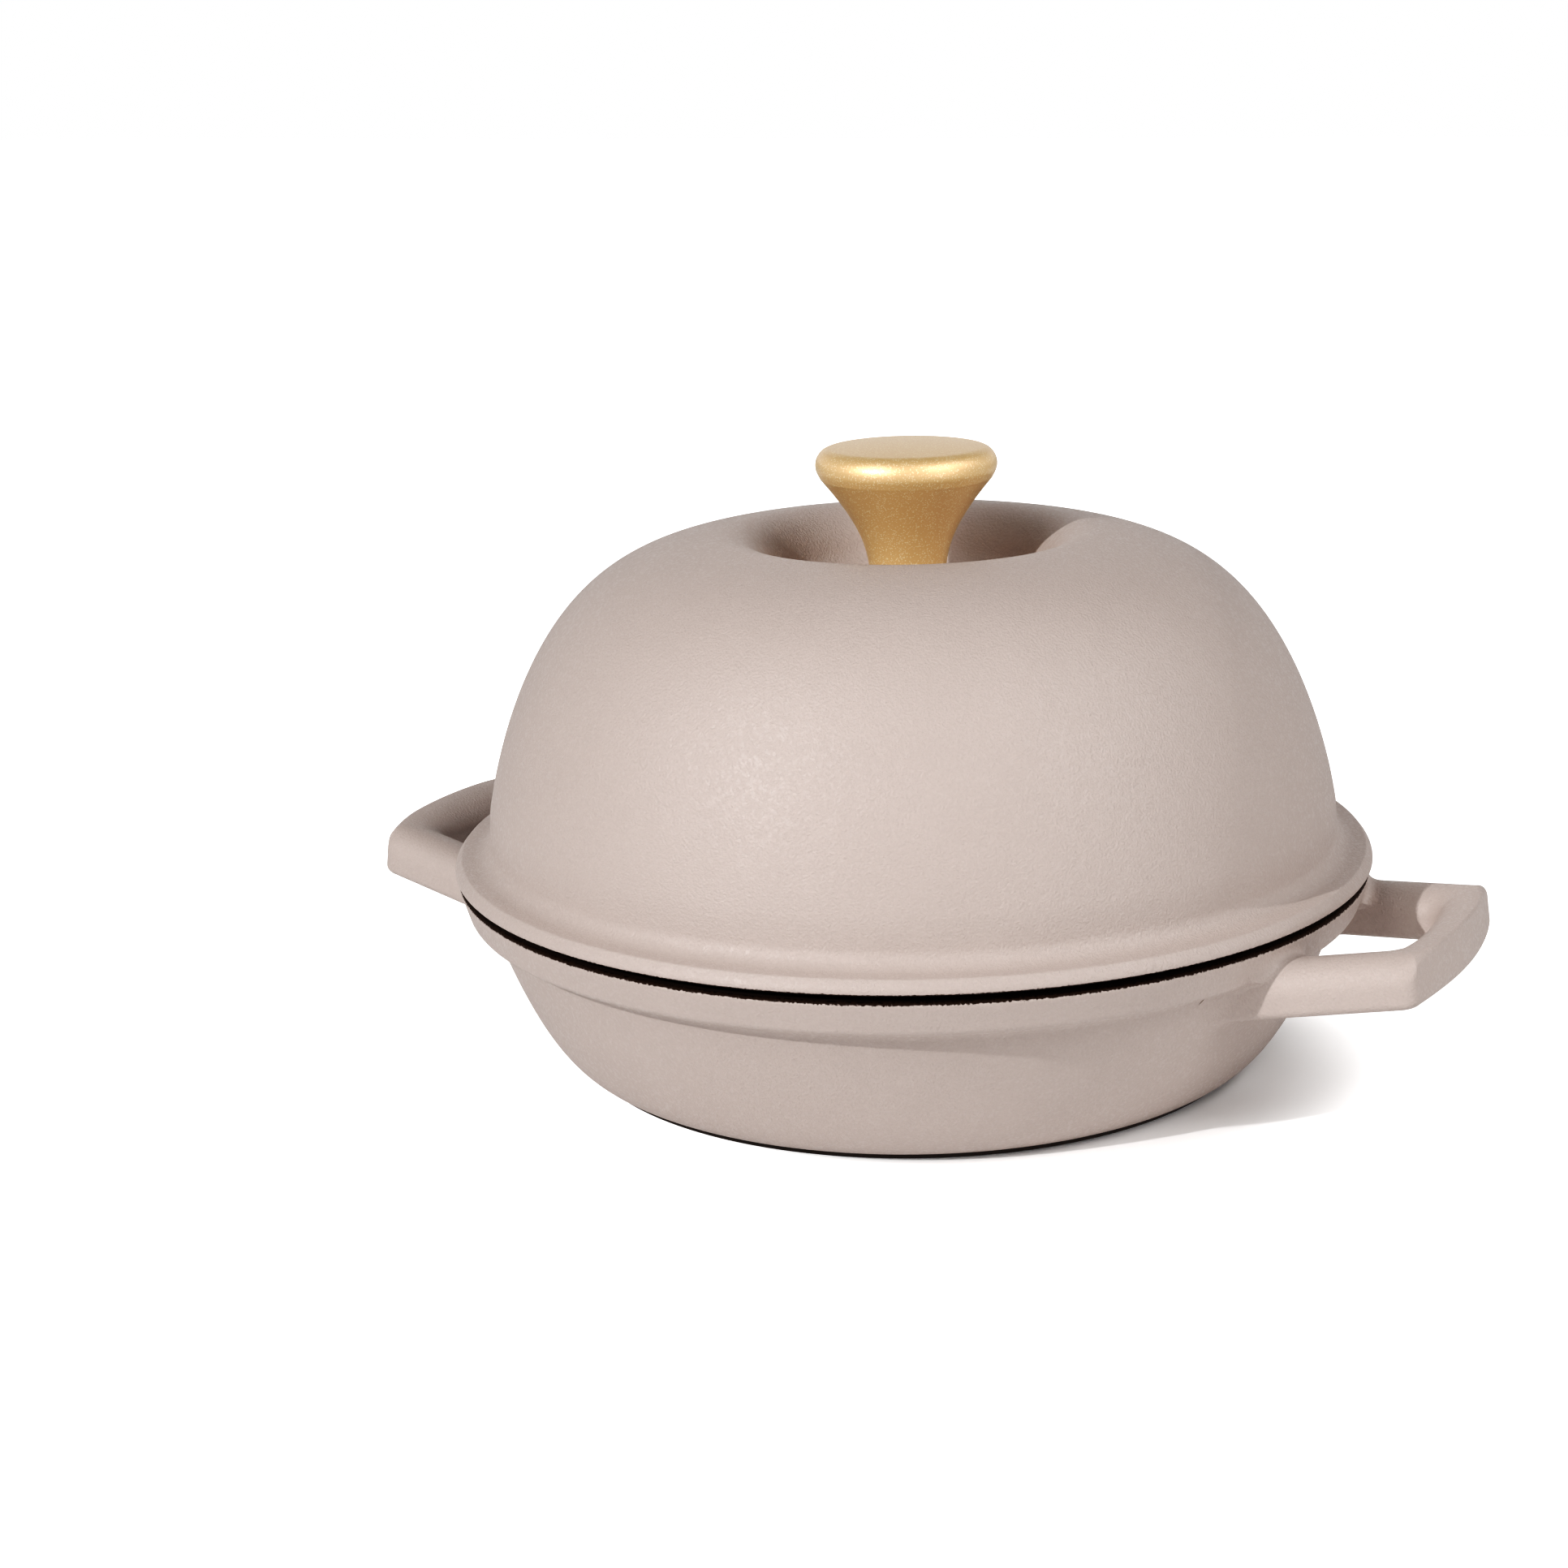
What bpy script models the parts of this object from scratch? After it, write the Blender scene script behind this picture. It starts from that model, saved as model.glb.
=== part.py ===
# Cast iron bread oven: a shallow enamelled pan with two loop handles, and a tall domed lid with a knob.
# Metres, +Z up. The origin is on the axis, on the surface that the oven stands on. The handles lie along X.

import math
import bpy
import bmesh
import numpy as np

# Clearance between pieces that rest on each other, and the small round on a cast edge
seat_gap = 0.0003
edge_round = 0.0006

# Pan
rim_radius = 0.1363
rim_height = 0.0570
rim_land_rise = 0.0010
rim_width = 0.0090
rim_bevel = 0.0030
band_height = 0.0112
band_taper = 0.0031
band_undercut = 0.0042
band_round = 0.0030
neck_round = 0.0050
wall_top_inset = 0.0090
pan_wall = 0.0038
pan_floor = 0.0045
base_radius = 0.1022
foot_height = 0.0018
foot_inset = 0.0012
foot_width = 0.0080
foot_recess = 0.0010

# Handles, each a loop of two arms and a bowed bar
handle_reach = 0.1700
handle_bow = 0.1575
handle_half_width = 0.0400
handle_taper = math.radians(13.25)
handle_tilt = math.radians(7.6)
handle_height = 0.0146
handle_rise = 0.0010
handle_lean = 0.0019
arm_width = 0.0167
bar_width = 0.0127
handle_outer_round = 0.0050
handle_inner_round = 0.0070
# How far inside the rim the arms start, which the pan's cavity then cuts away
arm_start_inset = 0.0324
# The arms swell over the first length as they near the wall, and stop swelling after the second
root_swell = 0.0025
root_reach = 0.0110
root_run = 0.0176
# Rounding of the section's corners as shares of its width and height, on the arms and on the bar
inner_bottom_round = (0.15, 0.15), (0.28, 0.30)
outer_bottom_round = (0.10, 0.10), (0.10, 0.10)
outer_top_round = (0.45, 0.58), (0.07, 0.06)
inner_top_round = (0.55, 0.48), (0.80, 0.55)

# Lid
lid_gap = 0.0029
lid_wall = 0.0036
flange_overhang = 0.00075
flange_thickness = 0.0038
flange_round = 0.0030
flange_slope = 0.0004
flange_root_round = 0.0042
dome_radius = 0.1267
dome_base_height = 0.0132
dome_rise = 0.0869
dome_side_power = 4.90
dome_top_power = 1.364
# The dome's curve starts this much further out than the crest, and ends at this share of its rise
dome_start_share = 1.12
dome_end_share = 0.07
lip_depth = 0.0040
lip_width = 0.0034
lip_clearance = 0.0008

# Recess in the top of the dome
crest_radius = 0.0546
crest_round = 0.0150
recess_wall_angle = math.radians(70)
recess_depth = 0.0180
recess_round = 0.0090

# Knob and its fastening, an M6 screw
knob_height = 0.0421
knob_head_thickness = 0.0098
knob_head_corner_radius = 0.0274
knob_underside_radius = 0.0252
knob_waist_radius = 0.0113
knob_waist_height = 0.0036
knob_base_radius = 0.0122
knob_base_band = 0.0010
knob_top_radius = 0.0228
knob_top_crown = 0.0010
knob_edge_drop = 0.0048
knob_edge_round = 0.0060
knob_flare = (0.0, 0.34), (0.52, 0.62)
seal_thickness = 0.0010
seal_inset = 0.0004
screw_radius = 0.0030
screw_hole_clearance = 0.0005
thread_clearance = 0.0003
thread_depth = 0.0140
screw_engagement = 0.0110
screw_chamfer = 0.0008
screw_head_radius = 0.0060
screw_head_height = 0.0035
screw_head_round = 0.0024
screw_slot_width = 0.0014
screw_slot_depth = 0.0016
flat_washer_radius = 0.0090
flat_washer_thickness = 0.0012
lock_washer_radius = 0.0055
lock_washer_thickness = 0.0015
lock_washer_split = 0.0012

# Steps round the axis
pan_steps = 60
knob_steps = 32
small_steps = 24

# A fillet takes at most this share of the shorter side beside its corner
fillet_limit = 0.8

# Finishes
taupe_enamel = ((0.55, 0.46, 0.42), 0.50, 0.0)
gold_metal = ((0.72, 0.47, 0.20), 0.32, 1.0)
steel = ((0.62, 0.62, 0.60), 0.30, 1.0)
dark_seal = ((0.03, 0.03, 0.03), 0.70, 0.0)


def make_material(name, finish):
    colour, roughness, metallic = finish
    material = bpy.data.materials.new(name)
    material.use_nodes = True
    shader = material.node_tree.nodes["Principled BSDF"]
    shader.inputs["Base Color"].default_value = (*colour, 1.0)
    shader.inputs["Roughness"].default_value = roughness
    shader.inputs["Metallic"].default_value = metallic
    material.diffuse_color = (*colour, 1.0)
    return material


def add_object(name, bm, finish):
    bmesh.ops.recalc_face_normals(bm, faces=bm.faces)
    mesh = bpy.data.meshes.new(name)
    bm.to_mesh(mesh)
    bm.free()
    mesh.shade_smooth()
    mesh.set_sharp_from_angle(angle=math.radians(40))
    mesh.materials.append(make_material(name, finish))
    made = bpy.data.objects.new(name, mesh)
    bpy.context.scene.collection.objects.link(made)
    return made


# A profile is a list of (radius, height) points

def cubic(start, first, second, end, steps):
    """Points along a cubic curve, whose two handles are fractions of the span."""
    span = (end[0] - start[0], end[1] - start[1])
    points = []
    for step in range(steps + 1):
        t = step / steps
        a, b, c = 3 * t * (1 - t) ** 2, 3 * t * t * (1 - t), t ** 3
        points.append((start[0] + span[0] * (a * first[0] + b * second[0] + c),
                       start[1] + span[1] * (a * first[1] + b * second[1] + c)))
    return points


def rounded(corners):
    """Turn (radius, height, fillet, steps) corners into points, with an arc where there is a fillet."""
    points = []
    for index, (x, y, fillet, steps) in enumerate(corners):
        if fillet == 0:
            points.append((x, y))
            continue
        here = np.array([x, y])
        before = np.array(corners[index - 1][:2]) - here
        after = np.array(corners[index + 1][:2]) - here
        reach = min(np.linalg.norm(before), np.linalg.norm(after))
        before, after = before / np.linalg.norm(before), after / np.linalg.norm(after)
        half = math.acos(float(np.clip(before @ after, -1, 1))) / 2
        length = min(fillet / math.tan(half), fillet_limit * reach)
        radius = length * math.tan(half)
        bisector = (before + after) / np.linalg.norm(before + after)
        centre = here + bisector * radius / math.sin(half)
        start, end = here + before * length - centre, here + after * length - centre
        turn = math.atan2(start[0] * end[1] - start[1] * end[0], float(start @ end))
        for step in range(steps + 1):
            c, s = math.cos(turn * step / steps), math.sin(turn * step / steps)
            points.append((centre[0] + start[0] * c - start[1] * s,
                           centre[1] + start[0] * s + start[1] * c))
    return points


def turned(name, points, steps, finish, closed=False):
    """Spin a profile about the axis. A closed profile gives a ring, and an open one begins and ends there."""
    bm = bmesh.new()
    verts = [bm.verts.new((radius, 0.0, height)) for radius, height in points]
    edges = [bm.edges.new((verts[i], verts[i + 1])) for i in range(len(verts) - 1)]
    if closed:
        edges.append(bm.edges.new((verts[-1], verts[0])))
    bmesh.ops.spin(bm, geom=verts + edges, axis=(0, 0, 1), cent=(0, 0, 0), angle=2 * math.pi, steps=steps)
    bmesh.ops.remove_doubles(bm, verts=bm.verts, dist=1e-6)
    bmesh.ops.dissolve_degenerate(bm, dist=1e-6, edges=bm.edges)
    return add_object(name, bm, finish)


def as_guide(guide):
    guide.hide_render = True
    guide.display_type = 'WIRE'
    return guide


def combine(target, operation, other):
    modifier = target.modifiers.new(operation.title(), 'BOOLEAN')
    modifier.operation = operation
    modifier.solver = 'EXACT'
    modifier.object = as_guide(other)


# Heights that several pieces share
land_height = rim_height + rim_land_rise
lid_seat = land_height + seat_gap
flange_bottom = rim_height + lid_gap
flange_top = flange_bottom + flange_thickness
dome_base = rim_height + dome_base_height


# Pan

band_foot = (rim_radius - band_taper, rim_height - band_height)
wall_top = (rim_radius - wall_top_inset, band_foot[1] - band_undercut)
rim_inner_radius = rim_radius - rim_width
wall_fullness = (0.360, 0.084), (0.702, 0.499)
inner_fullness = (0.480, 0.020), (0.760, 0.480)


def pan_outer_profile():
    foot_outer = base_radius - foot_inset
    wall = cubic((base_radius, foot_height), *wall_fullness, wall_top, 7)
    top = rounded([
        (0.0, land_height, 0, 0),
        (rim_radius - rim_bevel, land_height, 0, 0),
        (rim_radius, rim_height, edge_round, 1),
        (*band_foot, band_round, 3),
        (*wall_top, neck_round, 3),
        (*wall[-2], 0, 0),
    ])
    foot = [
        (foot_outer, foot_height),
        (foot_outer, 0.0),
        (foot_outer - foot_width, 0.0),
        (foot_outer - foot_width - foot_recess, foot_recess),
        (0.0, foot_recess),
    ]
    return top + wall[-3::-1] + foot


def pan_cavity_profile():
    floor_height = foot_height + pan_floor
    inner_top = (wall_top[0] - pan_wall, wall_top[1])
    wall = cubic((base_radius - pan_wall, floor_height), *inner_fullness, inner_top, 6)
    above = land_height + rim_width
    rim_neck = wall_top[1] + band_undercut + band_height / 2
    return [
        (0.0, above),
        (rim_inner_radius, above),
        (rim_inner_radius, rim_neck),
        *wall[::-1],
        (0.0, floor_height),
    ]


# Handles

handle_crease = rim_height + handle_rise
handle_arc_centre = handle_reach - handle_bow
# Where the stations lie along an arm and along half of the bar, as shares of their lengths
arm_marks = (0.0, 0.40, 0.50, 0.58, 0.68, 0.82)
bar_marks = (0.84, 0.66, 0.33, 0.0)
# How far each station's section has turned from the arm's form into the bar's
form_shares = ((0.0,) * 6, (0.0, 0.10, 0.25, 0.40, 0.55), (0.75, 0.92, 1.0, 1.0))


def fillet_points(start, corner, end, radius, steps):
    arc = rounded([(*start, 0, 0), (*corner, radius, steps), (*end, 0, 0)])
    return [np.array(point) for point in arc[1:-1]]


def handle_outline(half_width, bow, round_radius):
    """One side of the handle's plan, from inside the pan's wall to the bar's middle, as (x, y) points."""
    corner = np.array([handle_arc_centre + math.sqrt(bow ** 2 - half_width ** 2), half_width])
    inwards = corner[0] - rim_radius + arm_start_inset
    start = corner + inwards * np.array([-1.0, math.tan(handle_taper)])
    swing = math.asin(half_width / bow)
    ahead = corner + np.array([math.sin(swing), -math.cos(swing)]) * half_width / 2
    turn = fillet_points(start, corner, ahead, round_radius, 4)
    arm = [start + (turn[0] - start) * mark for mark in arm_marks]
    last = math.asin(turn[-1][1] / bow)
    bar = [np.array([handle_arc_centre + bow * math.cos(last * k), bow * math.sin(last * k)])
           for k in bar_marks]
    return arm, turn, bar


def handle_section(width, bar_share):
    """Points (across, up) of the section, from the inner lower corner outwards and back over the top.

    On the arms the top rolls over to the outer side, and on the bar it rolls over to the inner side.
    """
    # Each corner has its place, its rounding, the angle where its arc starts and its steps
    corners = [
        (0.0, 0.0, inner_bottom_round, 180, 2),
        (width, 0.0, outer_bottom_round, 270, 1),
        (width, handle_height, outer_top_round, 0, 4),
        (0.0, handle_height, inner_top_round, 90, 4),
    ]
    points = []
    for x, y, (arm_round, bar_round), first, steps in corners:
        rx, ry = [a + (b - a) * bar_share for a, b in zip(arm_round, bar_round)]
        rx, ry = rx * width, ry * handle_height
        cx = x + rx if x == 0.0 else x - rx
        cy = y + ry if y == 0.0 else y - ry
        for step in range(steps + 1):
            angle = math.radians(first + 90 * step / steps)
            points.append((cx + rx * math.cos(angle), cy + ry * math.sin(angle)))
    return points


def handle_guide(name):
    inner_half = handle_half_width - arm_width
    outer_sides = handle_outline(handle_half_width, handle_bow, handle_outer_round)
    inner_sides = handle_outline(inner_half, handle_bow - bar_width, handle_inner_round)
    stations = []
    for outers, inners, shares in zip(outer_sides, inner_sides, form_shares):
        stations += zip(outers, inners, shares)
    mirror = np.array([1.0, -1.0])
    stations += [(outer * mirror, inner * mirror, share) for outer, inner, share in stations[-2::-1]]
    bm = bmesh.new()
    rings = []
    for outer, inner, share in stations:
        across = outer - inner
        width = float(np.linalg.norm(across))
        across /= width
        # The arms swell where they run into the band
        run = min(max(0.0, wall_top[0] + root_reach - outer[0]), root_run)
        swell = root_swell * (run / root_reach) ** 2
        ring = []
        for q, h in handle_section(width, share):
            q_out = (q / width - 0.5) * 2 * swell
            h_out = (h / handle_height - 0.5) * swell
            lean = handle_lean * (1 - h / handle_height) * (q / width)
            x, y = inner + across * (q + q_out) + np.array([lean, 0.0])
            z = handle_crease - handle_height + h + h_out + math.tan(handle_tilt) * (x - handle_reach)
            ring.append(bm.verts.new((x, y, z)))
        rings.append(ring)
    count = len(rings[0])
    for first, second in zip(rings, rings[1:]):
        for k in range(count):
            bm.faces.new((first[k], first[(k + 1) % count], second[(k + 1) % count], second[k]))
    bm.faces.new(rings[0])
    bm.faces.new(rings[-1])
    return add_object(name, bm, taupe_enamel)


def make_pan():
    pan = turned('base_pan', pan_outer_profile(), pan_steps, taupe_enamel)
    right = handle_guide('right_handle_guide')
    left = as_guide(bpy.data.objects.new('left_handle_guide', right.data))
    bpy.context.scene.collection.objects.link(left)
    left.rotation_euler = (0, 0, math.pi)
    combine(pan, 'UNION', right)
    combine(pan, 'UNION', left)
    combine(pan, 'DIFFERENCE', turned('pan_cavity', pan_cavity_profile(), pan_steps, taupe_enamel))
    return pan


# Lid

def dome_point(angle, inset=0.0):
    """Superellipse: radius = a cos(t)^(2/n), height = b sin(t)^(2/m), with the inset taken off a and b."""
    radius = (dome_radius - inset) * math.cos(angle) ** (2 / dome_side_power)
    height = (dome_rise - inset) * math.sin(angle) ** (2 / dome_top_power)
    return radius, dome_base + height


def dome_height(radius, inset=0.0):
    share = (radius / (dome_radius - inset)) ** dome_side_power
    return dome_base + (dome_rise - inset) * (1 - share) ** (1 / dome_top_power)


def crest_arc(inset, steps):
    """The round crest between the dome and the recess, from the dome's slope to the recess wall's."""
    round_radius = crest_round - inset
    slope = 0.0
    for _ in range(8):
        start_radius = crest_radius + round_radius * math.sin(slope)
        fall = (dome_height(start_radius, inset) - dome_height(start_radius + 1e-4, inset)) / 1e-4
        slope = math.atan(fall)
    centre = dome_height(start_radius, inset) - round_radius * math.cos(slope)
    arc = []
    for step in range(steps + 1):
        angle = slope + (-recess_wall_angle - slope) * step / steps
        arc.append((crest_radius + round_radius * math.sin(angle), centre + round_radius * math.cos(angle)))
    return arc


recess_floor = dome_height(crest_radius) - recess_depth


def lid_shell_profile(inset):
    """From the axis out over the recess and the crest and down the dome to its upright wall."""
    arc = crest_arc(inset, 5 if inset == 0 else 3)
    edge_radius, edge_height = arc[-1]
    floor_height = recess_floor - inset
    foot_radius = edge_radius - (edge_height - floor_height) / math.tan(recess_wall_angle)
    floor = rounded([(0.0, floor_height, 0, 0), (foot_radius, floor_height, recess_round + inset, 3),
                     (edge_radius, edge_height, 0, 0)])
    start = arc[0][0] * dome_start_share
    first = math.acos((start / (dome_radius - inset)) ** (dome_side_power / 2))
    last = math.asin(dome_end_share ** (dome_top_power / 2))
    steps = 8 if inset == 0 else 6
    dome = [dome_point(first + (last - first) * k / steps, inset) for k in range(steps + 1)]
    return floor[:-1] + arc[::-1] + dome


def lid_profile():
    flange_radius = rim_radius + flange_overhang
    root_height = flange_top + flange_slope
    wall = lid_shell_profile(0.0)
    lip_outer = rim_inner_radius - lip_clearance
    lip_inner = lip_outer - lip_width
    flange = rounded([
        (*wall[-1], 0, 0),
        (dome_radius, root_height, flange_root_round, 3),
        (flange_radius, flange_top, flange_round, 3),
        (flange_radius, flange_bottom, edge_round, 1),
        (rim_radius - rim_bevel, lid_seat, 0, 0),
    ])
    lip = [
        (lip_outer, lid_seat),
        (lip_outer, lid_seat - lip_depth),
        (lip_inner, lid_seat - lip_depth),
        (dome_radius - lid_wall, root_height),
    ]
    return wall[:-1] + flange + lip + lid_shell_profile(lid_wall)[::-1]


def make_lid():
    lid = turned('lid_dome', lid_profile(), pan_steps, taupe_enamel)
    hole_radius = screw_radius + screw_hole_clearance
    hole = turned('screw_hole', [
        (0.0, recess_floor + lid_wall),
        (hole_radius, recess_floor + lid_wall),
        (hole_radius, recess_floor - lid_wall * 2),
        (0.0, recess_floor - lid_wall * 2),
    ], small_steps, steel)
    combine(lid, 'DIFFERENCE', hole)
    return lid


# Knob and its fastening

seal_bottom = recess_floor + seat_gap
knob_bottom = seal_bottom + seal_thickness + seat_gap
lid_underside = recess_floor - lid_wall
flat_washer_top = lid_underside - seat_gap
lock_washer_top = flat_washer_top - flat_washer_thickness - seat_gap
screw_head_top = lock_washer_top - lock_washer_thickness - seat_gap


def knob_profile():
    top = knob_bottom + knob_height
    head_foot = (knob_underside_radius, top - knob_head_thickness)
    waist = (knob_waist_radius, knob_bottom + knob_waist_height)
    flare = cubic(waist, *knob_flare, head_foot, 6)
    head = rounded([
        (0.0, top, 0, 0),
        (knob_top_radius, top - knob_top_crown, knob_edge_round, 2),
        (knob_head_corner_radius, top - knob_edge_drop, knob_edge_round, 3),
        (*head_foot, 0, 0),
    ])
    base = [
        (knob_base_radius, knob_bottom + knob_base_band),
        (knob_base_radius, knob_bottom),
        (0.0, knob_bottom),
    ]
    return head[:-1] + flare[::-1] + base


def make_knob():
    knob = turned('knob', knob_profile(), knob_steps, gold_metal)
    bore = screw_radius + thread_clearance
    hole = turned('knob_thread_hole', [
        (0.0, knob_bottom + thread_depth),
        (bore, knob_bottom + thread_depth),
        (bore, knob_bottom - seat_gap),
        (0.0, knob_bottom - seat_gap),
    ], small_steps, steel)
    combine(knob, 'DIFFERENCE', hole)
    return knob


def ring(name, inner, outer, bottom, top, finish):
    corners = [(outer, top), (outer, bottom), (inner, bottom), (inner, top)]
    return turned(name, corners, small_steps, finish, closed=True)


def make_fastening():
    hole_radius = screw_radius + screw_hole_clearance
    seal_radius = knob_base_radius - seal_inset
    flat_washer_bottom = flat_washer_top - flat_washer_thickness
    lock_washer_bottom = lock_washer_top - lock_washer_thickness
    ring('knob_seal', hole_radius, seal_radius, seal_bottom, seal_bottom + seal_thickness, dark_seal)
    ring('flat_washer', hole_radius, flat_washer_radius, flat_washer_bottom, flat_washer_top, steel)
    lock = ring('lock_washer', hole_radius, lock_washer_radius, lock_washer_bottom, lock_washer_top, steel)
    gap_reach = lock_washer_radius + seat_gap
    gap = box_guide('lock_washer_gap', (0.0, -lock_washer_split / 2, lock_washer_bottom - seat_gap),
                    (gap_reach, lock_washer_split / 2, lock_washer_top + seat_gap))
    combine(lock, 'DIFFERENCE', gap)
    tip = knob_bottom + screw_engagement
    head_bottom = screw_head_top - screw_head_height
    screw = turned('knob_screw', rounded([
        (0.0, tip, 0, 0),
        (screw_radius - screw_chamfer, tip, 0, 0),
        (screw_radius, tip - screw_chamfer, 0, 0),
        (screw_radius, screw_head_top, 0, 0),
        (screw_head_radius, screw_head_top, 0, 0),
        (screw_head_radius, head_bottom, screw_head_round, 3),
        (0.0, head_bottom, 0, 0),
    ]), small_steps, steel)
    slot_reach = screw_head_radius + seat_gap
    slot = box_guide('screw_slot', (-slot_reach, -screw_slot_width / 2, head_bottom - seat_gap),
                     (slot_reach, screw_slot_width / 2, head_bottom + screw_slot_depth))
    combine(screw, 'DIFFERENCE', slot)


def box_guide(name, low, high):
    bm = bmesh.new()
    bmesh.ops.create_cube(bm, size=1.0)
    for vert in bm.verts:
        vert.co = [low[k] + (high[k] - low[k]) * (vert.co[k] + 0.5) for k in range(3)]
    return add_object(name, bm, steel)


def main():
    for item in list(bpy.data.objects):
        bpy.data.objects.remove(item)
    make_pan()
    make_lid()
    make_knob()
    make_fastening()


main()
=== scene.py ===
import math
import bpy
import numpy as np
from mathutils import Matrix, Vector


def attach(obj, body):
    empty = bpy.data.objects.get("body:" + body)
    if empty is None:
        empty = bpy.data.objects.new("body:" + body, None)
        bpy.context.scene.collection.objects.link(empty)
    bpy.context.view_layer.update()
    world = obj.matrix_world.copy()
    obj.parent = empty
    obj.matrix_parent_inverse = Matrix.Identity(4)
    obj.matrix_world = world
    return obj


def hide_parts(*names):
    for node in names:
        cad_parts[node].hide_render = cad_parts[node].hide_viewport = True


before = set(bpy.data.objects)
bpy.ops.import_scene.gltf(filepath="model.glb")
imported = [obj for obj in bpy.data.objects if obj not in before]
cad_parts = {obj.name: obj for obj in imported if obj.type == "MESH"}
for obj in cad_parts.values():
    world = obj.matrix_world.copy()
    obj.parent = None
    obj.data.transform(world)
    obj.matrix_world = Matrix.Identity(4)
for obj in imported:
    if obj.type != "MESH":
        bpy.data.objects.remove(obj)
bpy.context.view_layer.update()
print("frame loaded")

# All lengths are metres. Profiles are (radius, height) points round the oven's axis.
tiny = 1e-7  # shorter sides and smaller radii count as nothing

pan = {
    "rimRadius": 0.1363, "rimHeight": 0.0570, "landRise": 0.0010, "rimWidth": 0.0090, "rimBevel": 0.0030,
    "bandHeight": 0.0092, "bandTaper": 0.0028, "bandUndercut": 0.0026, "wallTopInset": 0.0092,
    "wall": 0.0038, "floor": 0.0045, "baseRadius": 0.1022,
    "outerFullness": ((0.360, 0.084), (0.702, 0.499)), "innerFullness": ((0.480, 0.020), (0.760, 0.480)),
    "footHeight": 0.0018, "footInset": 0.0012, "footWidth": 0.0080, "footRecess": 0.0010,
    "footRounds": (0.0006, 0.0003, 0.0005), "neckRound": 0.0042, "bandRound": 0.0028, "rimRound": 0.0008,
    "landRound": 0.0030, "mouthRound": 0.0010, "throatRound": 0.0060, "wallTopRound": 0.0080,
    "outsideReach": 0.0030, "insideReach": 0.010, "steps": 300,
}
panRimInner = pan["rimRadius"] - pan["rimWidth"]
panLand = pan["rimHeight"] + pan["landRise"]
panBandFoot = (pan["rimRadius"] - pan["bandTaper"], pan["rimHeight"] - pan["bandHeight"])
panWallTop = (pan["rimRadius"] - pan["wallTopInset"], panBandFoot[1] - pan["bandUndercut"])


# A cubic curve from start to end, with its two handles as fractions of the span:
# start + span (3t(1-t)^2 first + 3t^2(1-t) second + t^3)
def cubicPoints(start, first, second, end, steps):
    t = np.linspace(0, 1, steps + 1)[:, None]
    start, end = np.array(start), np.array(end)
    blend = 3 * t * (1 - t) ** 2 * np.array(first) + 3 * t * t * (1 - t) * np.array(second) + t ** 3
    return start + (end - start) * blend


# Corners of (radius, height, fillet) become a line with an arc at each corner that has a fillet.
# An arc takes no more than the given share of its shorter side.
def filletPoints(corners, steps, most=0.8):
    line = np.array([corner[:2] for corner in corners], float)
    parts = []
    for k, corner in enumerate(corners):
        if corner[2] == 0:
            parts.append(line[k:k + 1])
            continue
        before, after = line[k - 1] - line[k], line[k + 1] - line[k]
        reach = min(np.linalg.norm(before), np.linalg.norm(after))
        before, after = before / np.linalg.norm(before), after / np.linalg.norm(after)
        half = math.acos(float(np.clip(before @ after, -1, 1))) / 2
        length = min(corner[2] / math.tan(half), most * reach)
        bisector = (before + after) / np.linalg.norm(before + after)
        centre = line[k] + bisector * length / math.cos(half)
        start, end = line[k] + before * length - centre, line[k] + after * length - centre
        turn = math.atan2(start[0] * end[1] - start[1] * end[0], float(start @ end))
        a = np.linspace(0, turn, steps + 1)[:, None]
        parts.append(centre + start * np.cos(a) + np.array([-start[1], start[0]]) * np.sin(a))
    return np.concatenate(parts)


# Each side of a line is cut into equal parts no longer than the reach, and they keep the side's finish
def evenLine(line, kinds, reach):
    parts, marks = [], []
    for a, b, kind in zip(line[:-1], line[1:], kinds[:-1]):
        side = float(np.linalg.norm(b - a))
        if side > tiny:
            count = math.ceil(side / reach)
            parts.append(np.linspace(a, b, count + 1)[:-1])
            marks.append(np.full(count, kind))
    return np.concatenate(parts + [line[-1:]]), np.concatenate(marks + [kinds[-1:]])


# Quads between neighbours on a grid of vertex numbers. The columns close on each other, and the rows
# too if asked.
def gridQuads(index, closeRows=False):
    if closeRows:
        index = np.vstack([index, index[:1]])
    index = np.hstack([index, index[:, :1]])
    near, far = index[:-1], index[1:]
    return np.stack([near[:, :-1], near[:, 1:], far[:, 1:], far[:, :-1]], axis=-1).reshape(-1, 4)


# Volume inside closed quads, as the sum of the tetrahedra from the origin. Its sign tells which way
# they face.
def signedVolume(verts, quads):
    a, b, c, d = (verts[quads[:, k]] for k in range(4))
    return float((np.cross(a, b) * c).sum() + (np.cross(a, c) * d).sum()) / 6


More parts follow.
